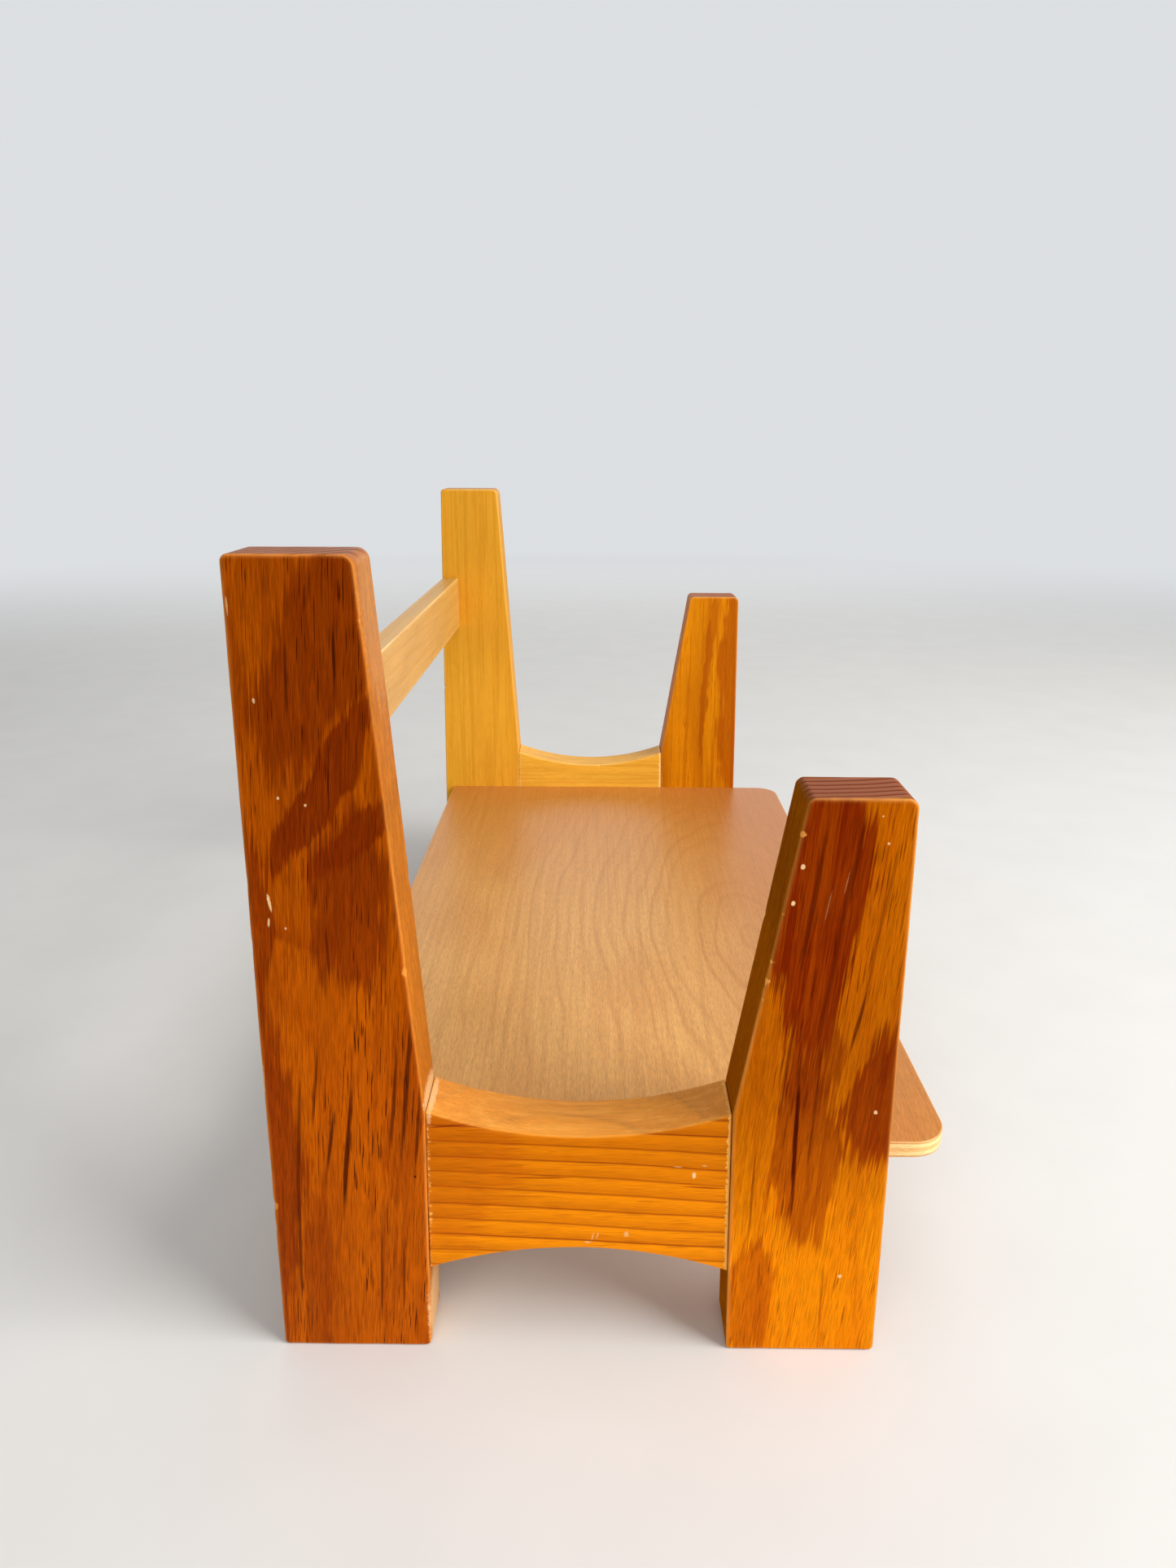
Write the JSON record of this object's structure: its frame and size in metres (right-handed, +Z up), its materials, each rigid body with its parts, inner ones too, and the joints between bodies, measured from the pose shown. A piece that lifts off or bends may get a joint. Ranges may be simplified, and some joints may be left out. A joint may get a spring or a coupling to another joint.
{
  "type": "mug rack",
  "caption": "Free-standing wooden mug rack: splayed end frames with scooped cross rails, a thin shelf between them and a back rail between the tall posts.",
  "frame": {"origin": "on the floor, in the middle of the rack's length and overall depth", "axes": "+X along the shelf, -Y the front (short posts and shelf overhang), +Z up"},
  "size_m": [0.406, 0.2169, 0.254],
  "materials": {
    "stained_pine": "satin varnish over dark flame-figured pine",
    "flame_pine": "satin varnish over orange pine with red-brown flame figure",
    "golden_pine": "satin varnish over golden pine",
    "rail_pine": "satin varnish over golden-orange pine with dark growth lines",
    "pale_pine": "satin varnish over pale pine",
    "veneered_plywood": "satin varnish over light tan veneer, pale cut edges",
    "beech_dowel": "bare beech",
    "screw_steel": "dull plated steel"
  },
  "bodies": {
    "root": {"tall_post_left": "stained_pine", "tall_post_right": "golden_pine", "short_post_left": "flame_pine", "short_post_right": "flame_pine", "cross_rail_left": "rail_pine", "cross_rail_right": "golden_pine", "back_rail": "pale_pine", "shelf_board": "veneered_plywood", "dowel_left_tall_lower": "beech_dowel", "dowel_left_tall_upper": "beech_dowel", "dowel_left_short_lower": "beech_dowel", "dowel_left_short_upper": "beech_dowel", "dowel_right_tall_lower": "beech_dowel", "dowel_right_tall_upper": "beech_dowel", "dowel_right_short_lower": "beech_dowel", "dowel_right_short_upper": "beech_dowel", "back_dowel_left_lower": "beech_dowel", "back_dowel_left_upper": "beech_dowel", "back_dowel_right_lower": "beech_dowel", "back_dowel_right_upper": "beech_dowel", "cleat_left": "pale_pine", "cleat_right": "pale_pine", "rail_screw_left_front": "screw_steel", "rail_screw_left_rear": "screw_steel", "rail_screw_right_front": "screw_steel", "rail_screw_right_rear": "screw_steel", "shelf_screw_left_front": "screw_steel", "shelf_screw_left_middle": "screw_steel", "shelf_screw_left_rear": "screw_steel", "shelf_screw_right_front": "screw_steel", "shelf_screw_right_middle": "screw_steel", "shelf_screw_right_rear": "screw_steel"}
  },
  "joints": []
}
